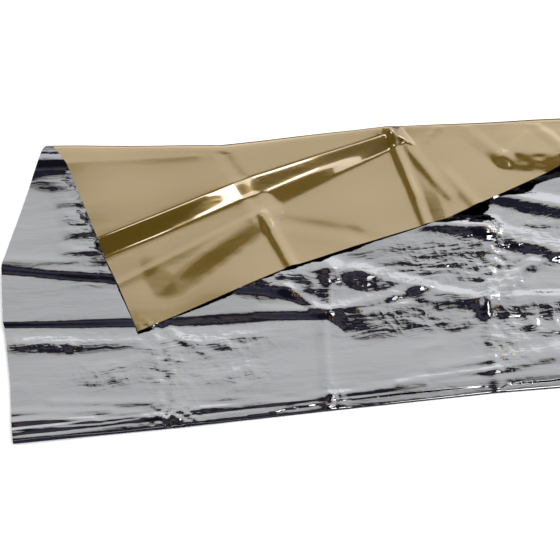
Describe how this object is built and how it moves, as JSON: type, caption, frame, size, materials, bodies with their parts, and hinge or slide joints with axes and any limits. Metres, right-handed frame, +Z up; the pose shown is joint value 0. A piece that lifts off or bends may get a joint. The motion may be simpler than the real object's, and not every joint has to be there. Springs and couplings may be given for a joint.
{
  "type": "emergency foil blanket",
  "caption": "Silver and gold metallised film rescue blanket, laid open in three loose lengthwise layers with a rolled gold flap.",
  "frame": {"origin": "centre of the bounding box in plan, at the height of the flat underside that rests on the ground", "axes": "+X along the sheet's 2.1 m length, +Y from the front fold to the rolled back, +Z up"},
  "size_m": [2.23, 0.5296, 0.0873],
  "materials": {
    "foil": "thin polyester film, mirror silver on one face and satin gold on the other"
  },
  "bodies": {
    "root": {"foil_sheet": "foil"}
  },
  "joints": []
}
